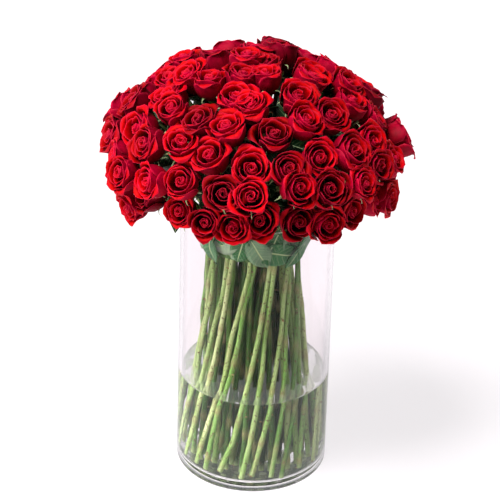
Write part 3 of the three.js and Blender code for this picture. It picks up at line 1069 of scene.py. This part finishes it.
# %% The leaves
LEAF_SLOPE = 0.22
LEAF_THICKNESS = 0.0007
LEAF_COLUMNS = ("around", "height", "radius", "points", "length", "width", "pale")
LEAVES = [dict(zip(LEAF_COLUMNS, row)) for row in (
    (32, 0.342, 0.069, -20, 0.072, 0.037, 0),
    (55, 0.352, 0.077, -75, 0.056, 0.028, 0),
    (-19, 0.352, 0.07, -115, 0.044, 0.027, 1),
    (-33, 0.372, 0.078, -70, 0.04, 0.026, 0),
    (-56, 0.362, 0.077, -100, 0.056, 0.026, 1),
    (140, 0.35, 0.071, -80, 0.056, 0.03, 0),
    (215, 0.352, 0.072, -105, 0.054, 0.028, 1),
)]
LEAF_TEETH = 11
LEAF_PEAK = 2.75


LEAF_RIPPLE = 0.0016
LEAF_FOLD = 0.0022
LEAF_CURL = 0.03
LEAF_CURLS_FROM = 0.55
LEAF_TOOTH = 0.09
LEAF_VALUES = ["along", "across", "pale", "outside"]


def leaf_shape(leaf, number):
    """A serrated oval, folded a little along its midrib and bent round the bunch."""
    tangent = math.radians(leaf["points"])

    def shape(along, across):
        centred = along - 0.5
        outline = max(0.03, LEAF_PEAK * along**0.6 * (1 - along) ** 0.9)
        tooth = ((along * LEAF_TEETH) % 1) * LEAF_TOOTH * abs(across) ** 3
        wide = across * leaf["width"] / 2 * outline * (1 - tooth)
        sideways = centred * leaf["length"] * math.cos(tangent) - wide * math.sin(tangent)
        rise = centred * leaf["length"] * math.sin(tangent) + wide * math.cos(tangent)
        ripple = LEAF_RIPPLE * math.sin(along * 8 + number * 2 + across * 1.5)
        fold = LEAF_FOLD * abs(across) * outline
        curl = LEAF_CURL * max(along - LEAF_CURLS_FROM, 0) ** 2
        radius = leaf["radius"] + LEAF_SLOPE * rise + ripple + fold - curl
        angle = math.radians(leaf["around"]) + sideways / leaf["radius"]
        values = {"along": along, "across": across, "pale": leaf["pale"]}
        return bunch_point(angle, radius, leaf["height"] + rise), values

    return shape


# %% [markdown]
# ## Leaves over the tie
# Twenty-two smaller leaves hang down from the lowest blooms all round the bunch, dark ones and a few that
# show their pale undersides, and hide the twine. They are the same bent sheet as the large leaves. Only
# their places and sizes vary, so one rule with a fixed scatter gives them, and they stay together in one
# piece.

# %% The leaves over the tie
COLLAR_LEAVES = 22


def collar_leaf(number):
    """One of the small leaves that hang down over the tie, all round the bunch."""
    return {
        "around": number * 137.5,
        "height": 0.351 + 0.024 * scatter(number, "rise"),
        "radius": 0.0730 + 0.006 * scatter(number, "reach"),
        "points": -90 + 130 * scatter(number, "azimuth"),
        "length": 0.052 + 0.020 * scatter(number, "size"),
        "width": 0.027 + 0.010 * scatter(number, "tone"),
        "pale": max(0, 0.10 + 1.6 * scatter(number, "opening")),
    }


collar = SheetMesh(LEAF_VALUES)
for number in range(1, COLLAR_LEAVES + 1):
    collar.sheet(leaf_shape(collar_leaf(number), number), 22, 6, LEAF_THICKNESS)
add_piece("collar_leaves", [collar.mesh("leaf", leaf_green)], "rose_leaf")
print(COLLAR_LEAVES, "leaves over the tie")

# %% The large leaves
for number, leaf in enumerate(LEAVES, 1):
    sheets = SheetMesh(LEAF_VALUES)
    sheets.sheet(leaf_shape(leaf, number), 44, 12, LEAF_THICKNESS)
    add_piece(f"leaf_blade_{number}", [sheets.mesh("leaf", leaf_green)], "rose_leaf", f"leaf_{number}")
print(len(LEAVES), "large leaves")

# %% [markdown]
# ## Leaves under the blooms
# Higher up the stems nearly every leaf is left on, and they fill the dome between the heads; their colour is
# darkened to under a third, a painted shade for the dark inside of the dome.
# These three hundred or so small leaves are one leaf repeated: a tree makes it from a grid of twelve
# faces, puts it at even steps along the top of each stem, turns each about a golden angle further round,
# and varies their size. The outermost ring of stems has none.

# %% The foliage's tree
FOLIAGE_LENGTH = 0.054
FOLIAGE_WIDTH = 0.030
FOLIAGE_TILT = 52
FOLIAGE_EACH = 4
FOLIAGE_THICKNESS = 0.0004


def foliage_tree():
    tree = GeometryTree("Leaves along a stem", [
        ("Length", "NodeSocketFloat", FOLIAGE_LENGTH),
        ("Width", "NodeSocketFloat", FOLIAGE_WIDTH),
        ("Leaves", "NodeSocketInt", FOLIAGE_EACH),
        ("Seed", "NodeSocketInt", 1),
    ])
    seed = tree.given("Seed")
    grid = tree.node("GeometryNodeMeshGrid", Size_X=1.0, Size_Y=2.0, Vertices_X=7, Vertices_Y=3).outputs[0]
    flat = tree.node("ShaderNodeSeparateXYZ", Vector=tree.value("GeometryNodeInputPosition"))
    along = Flow(tree.group, flat.outputs[0]) + 0.5
    across = Flow(tree.group, flat.outputs[1])
    grid = tree.store(grid, "along", along)
    grid = tree.store(grid, "across", across)
    outline = (along * (1.0 - along) * 4.0).at_least(0.004) ** 0.7 * (1.25 - along * 0.5)
    lift = across.size() * outline * 0.006 - (along ** 2.0) * 0.012
    shape = tree.vector(along * tree.given("Length"), across * outline * tree.given("Width") * 0.5, lift)
    blade = tree.node("GeometryNodeSetPosition", Geometry=grid, Position=shape).outputs[0]
    leaf = tree.thicken(blade, FOLIAGE_THICKNESS)
    places = tree.node("GeometryNodeCurveToPoints", {"mode": "COUNT"}, Curve=tree.given("Geometry"),
                       Count=tree.given("Leaves"))
    index = tree.value("GeometryNodeInputIndex")
    round_stem = tree.node("FunctionNodeAxisAngleToRotation", Axis=(0, 0, 1),
                           Angle=index * GOLDEN_ANGLE + tree.chance(0.5, index, seed)).outputs[0]
    tilt = tree.node("FunctionNodeAxisAngleToRotation", Axis=(0, 1, 0),
                     Angle=tree.chance(0.35, index, seed + 3.0) - math.radians(90 - FOLIAGE_TILT)).outputs[0]
    turned = tree.node("FunctionNodeRotateRotation", {"rotation_space": "LOCAL"},
                       Rotation=places.outputs["Rotation"], Rotate_By=round_stem).outputs[0]
    facing = tree.node("FunctionNodeRotateRotation", {"rotation_space": "LOCAL"}, Rotation=turned,
                       Rotate_By=tilt).outputs[0]
    size = tree.chance(0.25, index, seed + 5.0) + 0.95
    leaves = tree.node("GeometryNodeInstanceOnPoints", Points=places.outputs["Points"], Instance=leaf,
                       Rotation=facing, Scale=tree.vector(size, size, size)).outputs[0]
    real = tree.node("GeometryNodeRealizeInstances", Geometry=leaves).outputs[0]
    real = tree.store(real, "pale", 0.0)
    # These leaves are painted darker: painted shade inside the dome.
    real = tree.store(real, "painted_shade_depth", 1.0)
    smooth = tree.node("GeometryNodeSetShadeSmooth", Geometry=real).outputs[0]
    tree.finish(smooth, leaf_green)
    return tree


# %% Leaves on every stem
FOLIAGE_FROM = 0.40
FOLIAGE_TO = {1: 0.86, 2: 0.86, 3: 0.84, 4: 0.80, 5: 0.66}
FOLIAGE_STEPS = 8


def foliage_curves(ring, highest):
    curve = bpy.data.curves.new("stem tops", "CURVE")
    curve.dimensions = "3D"
    for rose in ring:
        spline = curve.splines.new("POLY")
        spline.points.add(FOLIAGE_STEPS)
        for step, point in enumerate(spline.points):
            place = upper_path(rose, between(FOLIAGE_FROM, highest, step / FOLIAGE_STEPS))
            point.co = (*place, 1)
    return curve


foliage = foliage_tree()
for number, highest in FOLIAGE_TO.items():
    on_ring = [rose for rose in roses if rose["ring"] is RINGS[number - 1]]
    leafy = foliage.grow(foliage_curves(on_ring, highest), {"Seed": number})
    piece = add_piece(f"foliage_ring_{number}", [leafy], "rose_leaf")
    print("ring", number, "has", len(on_ring) * FOLIAGE_EACH, "small leaves,", triangles(piece), "triangles")

# %% [markdown]
# ## The tie
# A florist binds the spiral at its narrowest place with a few turns of soft twine. It is a helix, so the
# twine's middle line comes from a formula, and the two twisted strands show as a fine slanting rib.

# %% Twine
TWINE_TURNS = 4
TWINE_RADIUS = 0.00105
TWINE_STEPS = 96


def twine_material():
    material, tree, shader = new_material("green twine", Roughness=0.85)
    fibres = spots(tree, 900, 3)
    colour = ramp(tree, fibres, [(0.3, (0.05, 0.13, 0.03)), (0.7, (0.14, 0.26, 0.07))])
    tree.links.new(colour, shader.inputs["Base Color"])
    bumped(tree, shader, fibres, 0.0006, 0.6)
    return material


def twine_mesh():
    low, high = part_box("tie")
    middle = (low + high) / 2
    coil = (high.x - low.x) / 2 - TWINE_RADIUS
    drop = high.z - low.z - 2 * TWINE_RADIUS
    points = []
    faces = []
    total = TWINE_TURNS * TWINE_STEPS
    sides = 8
    for step in range(total + 1):
        angle = 2 * math.pi * step / TWINE_STEPS
        height = low.z + TWINE_RADIUS + drop * step / total
        out = Vector((math.sin(angle), -math.cos(angle), 0))
        centre = Vector((middle.x, middle.y, height)) + out * coil
        for k in range(sides):
            turn = 2 * math.pi * k / sides
            rib = 1 + 0.16 * math.cos(2 * (turn + angle * 14))
            spot = out * math.cos(turn) + Vector((0, 0, math.sin(turn)))
            points.append(centre + spot * TWINE_RADIUS * rib)
    for step in range(total):
        for k in range(sides):
            after = (k + 1) % sides
            here, there = step * sides, (step + 1) * sides
            faces.append((here + k, there + k, there + after, here + after))
    faces.append(tuple(range(sides)))
    faces.append(tuple(total * sides + k for k in reversed(range(sides))))
    mesh = bpy.data.meshes.new("twine")
    mesh.from_pydata(points, [], faces)
    mesh.shade_smooth()
    mesh.materials.append(twine_material())
    return mesh


add_piece("tie_twine", [twine_mesh()], "tie", "tie")

# %% [markdown]
# ## Glass and water
# The vase is one turned piece of clear glass with a heavy base and a fire-polished rim. The water touches
# the glass, so there is no air between them: the water's side runs a hair inside the glass wall, which lets
# light pass from one to the other without a false mirror. Its surface climbs the wall a little in a
# meniscus.
#
# Some of this is set for the eye and not by physics. The walls mirror far less than glass does, since a
# full mirror hid the stems behind a haze, while the base keeps its full mirror, which gives it its rings of
# light. The walls turn grey-lavender towards their outline, a painted shade for the dark edges of glass.
# The water's surface has a strong clear coat. The water glows faintly and its surface more: a painted glow
# for the pale veil of reflected light that lies on it.

# %% Glass and water materials
GLASS_MIRROR = 0.12
FULL_MIRROR = 1.0
GLASS_COLOUR = (0.920, 0.890, 0.905, 1)
# Grey-lavender painted on the glass towards its outline: painted shade.
GLASS_PAINTED_EDGE_SHADE = (0.30, 0.29, 0.36, 1)
GLASS_IOR = 1.47
GLASS_SHADOW = (0.96, 0.955, 0.965, 1)
WATER_COLOUR = (0.975, 1.0, 0.990, 1)
# The water glows faintly and its surface more: a painted glow for the pale veil of reflected light on it.
WATER_PAINTED_GLOW = 0.035
WATER_TOP_PAINTED_GLOW = 0.15
WATER_PAINTED_GLOW_COLOUR = (0.90, 0.97, 0.95, 1)
WATER_IOR = 1.33
WATER_SHADOW = (0.98, 0.98, 0.98, 1)
WATER_TOP_GLOSS = 4.5


def clear_material(name, colour, ior, mirror, shadow, painted_edge_shade=None, **more):
    """Clear to the eye by refraction, and clear to shadows, so that light reaches what is inside."""
    material, tree, shader = new_material(name, Roughness=0.0, IOR=ior, Transmission_Weight=1.0,
                                          Specular_Tint=(mirror, mirror, mirror, 1), Base_Color=colour,
                                          **more)
    if painted_edge_shade:
        # Where the wall faces away from the eye, at its outline, the colour turns grey-lavender: painted
        # shade for the dark edges that refraction and the glass's thickness give it.
        slant = tree.nodes.new("ShaderNodeLayerWeight")
        slant.inputs["Blend"].default_value = 0.5
        edge = ramp(tree, slant.outputs["Facing"], [(0.70, (0, 0, 0)), (0.95, (1, 1, 1))])
        tree.links.new(blend_colours(tree, edge, colour, painted_edge_shade), shader.inputs["Base Color"])
    passing = add_node(tree, "ShaderNodeBsdfTransparent", Color=shadow)
    path = tree.nodes.new("ShaderNodeLightPath")
    blend = tree.nodes.new("ShaderNodeMixShader")
    tree.links.new(path.outputs["Is Shadow Ray"], blend.inputs[0])
    tree.links.new(shader.outputs[0], blend.inputs[1])
    tree.links.new(passing.outputs[0], blend.inputs[2])
    output = tree.nodes["Material Output"]
    tree.links.new(blend.outputs[0], output.inputs["Surface"])
    return material


glass = clear_material("clear glass", GLASS_COLOUR, GLASS_IOR, GLASS_MIRROR, GLASS_SHADOW, GLASS_PAINTED_EDGE_SHADE)
glass_base = clear_material("clear glass of the base", GLASS_COLOUR, GLASS_IOR, FULL_MIRROR, GLASS_SHADOW)
# The still water glows faintly: a painted glow.
water_clear = clear_material("still water", WATER_COLOUR, WATER_IOR, GLASS_MIRROR, WATER_SHADOW,
                             Emission_Color=WATER_PAINTED_GLOW_COLOUR, Emission_Strength=WATER_PAINTED_GLOW)
water_top = clear_material("water's mirror", WATER_COLOUR, WATER_IOR, FULL_MIRROR, WATER_SHADOW,
                           Emission_Color=WATER_PAINTED_GLOW_COLOUR, Emission_Strength=WATER_TOP_PAINTED_GLOW,
                           Coat_Weight=1.0, Coat_IOR=WATER_TOP_GLOSS, Coat_Roughness=0.0)
print("clear materials:", ", ".join(m.name for m in (glass, glass_base, water_clear, water_top)))

# %% Turned shapes
GLASS_SIDES = 128
HAIR = 0.0004


def arc_points(centre, radius, start, end, steps):
    """Points on a quarter or half round, as (radius, height) pairs, with the angles in degrees."""
    points = []
    for step in range(steps + 1):
        angle = math.radians(between(start, end, step / steps))
        points.append((centre[0] + radius * math.cos(angle), centre[1] + radius * math.sin(angle)))
    return points


def turned_mesh(name, profile, sides, material):
    sheets = SheetMesh([])
    sheets.turned(profile, sides, Matrix.Identity(4), {})
    return sheets.mesh(name, material)


vase_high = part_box("vase")[1]
water_low, water_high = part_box("water")
VASE_RADIUS = vase_high.x
VASE_HEIGHT = vase_high.z
WALL = 0.005
FOOT_ROUND = 0.006
FLOOR_ROUND = 0.007
INNER_RADIUS = VASE_RADIUS - WALL
FLOOR_TOP = water_low.z - GAP


FLOOR_RING = 0.0005
FLOOR_RING_FROM = 0.060
FLOOR_RINGS = 3
RING_STEPS = 8
FOOT_HOLLOW = 0.0012
FOOT_LIFT = 0.0004
WATER_OVERLAP = 0.0002


def wall_points(radius, low, high):
    """Points up a straight wall, close together at both ends, so that the smooth shading stays straight."""
    steps = 10
    return [(radius, between(low + HAIR, high - HAIR, step / steps)) for step in range(steps + 1)]


def floor_points(level):
    """Points across the vase's floor from the middle to the corner, with the low rings left by the mould."""
    points = [(0.020, level), (0.040, level)]
    steps = FLOOR_RINGS * RING_STEPS
    for step in range(steps + 1):
        radius = between(FLOOR_RING_FROM, INNER_RADIUS - FLOOR_ROUND - HAIR, step / steps)
        points.append((radius, level - FLOOR_RING * math.sin(math.pi * step / RING_STEPS) ** 2))
    return points


def glass_profile():
    """Up the outside from the middle of the foot, over the rim, and down the inside to the floor."""
    foot = arc_points((VASE_RADIUS - FOOT_ROUND, FOOT_ROUND), FOOT_ROUND, -90, 0, 8)
    rim_height = VASE_HEIGHT - WALL / 2
    rim = arc_points((VASE_RADIUS - WALL / 2, rim_height), WALL / 2, 0, 180, 10)
    corner_height = FLOOR_TOP + FLOOR_ROUND
    corner = arc_points((INNER_RADIUS - FLOOR_ROUND, corner_height), FLOOR_ROUND, 0, -90, 8)
    outside = wall_points(VASE_RADIUS, FOOT_ROUND, rim_height)
    inside = wall_points(INNER_RADIUS, corner_height, rim_height)
    punt = [(0, FOOT_HOLLOW), (0.060, FOOT_HOLLOW), (0.068, FOOT_LIFT), (0.072, FOOT_LIFT), (0.073, 0),
            (0.075, 0), (0.076, FOOT_LIFT), (0.087, FOOT_LIFT), (0.089, 0), (0.092, 0)]
    floor = [*reversed(floor_points(FLOOR_TOP)), (0, FLOOR_TOP)]
    return [*punt, *foot, *outside, *rim, *reversed(inside), *corner, *floor]


def water_profile():
    """A body that overlaps the glass by a hair, with a meniscus climbing the wall."""
    reach = INNER_RADIUS + WATER_OVERLAP
    bottom = FLOOR_TOP - WATER_OVERLAP
    corner = arc_points((reach - FLOOR_ROUND, bottom + FLOOR_ROUND), FLOOR_ROUND, -90, 0, 8)
    level = water_high.z
    side = wall_points(reach, FLOOR_TOP + FLOOR_ROUND, level + 0.0016)
    meniscus = [*side, (reach, level + 0.0016), (INNER_RADIUS - 0.0006, level + 0.0008),
                (INNER_RADIUS - 0.002, level + 0.0002), (INNER_RADIUS - 0.004, level),
                (INNER_RADIUS - 0.006, level), (0.050, level)]
    return [(0, bottom), *floor_points(bottom), *corner, *meniscus, (0, level)]


glass_mesh = turned_mesh("glass", glass_profile(), GLASS_SIDES, glass)
glass_mesh.materials.append(glass_base)
for face in glass_mesh.polygons:
    if face.center.z < FLOOR_TOP + FLOOR_ROUND:
        face.material_index = 1
add_piece("vase_glass", [glass_mesh], "vase_glass", "vase")
water_mesh = turned_mesh("water", water_profile(), GLASS_SIDES, water_clear)
water_mesh.materials.append(water_top)
for face in water_mesh.polygons:
    if face.normal.z > 0.5:
        face.material_index = 1
add_piece("water_body", [water_mesh], "water", "water")
print("the glass is", round(2000 * VASE_RADIUS), "mm across; the water stands to",
      round(1000 * water_high.z), "mm")
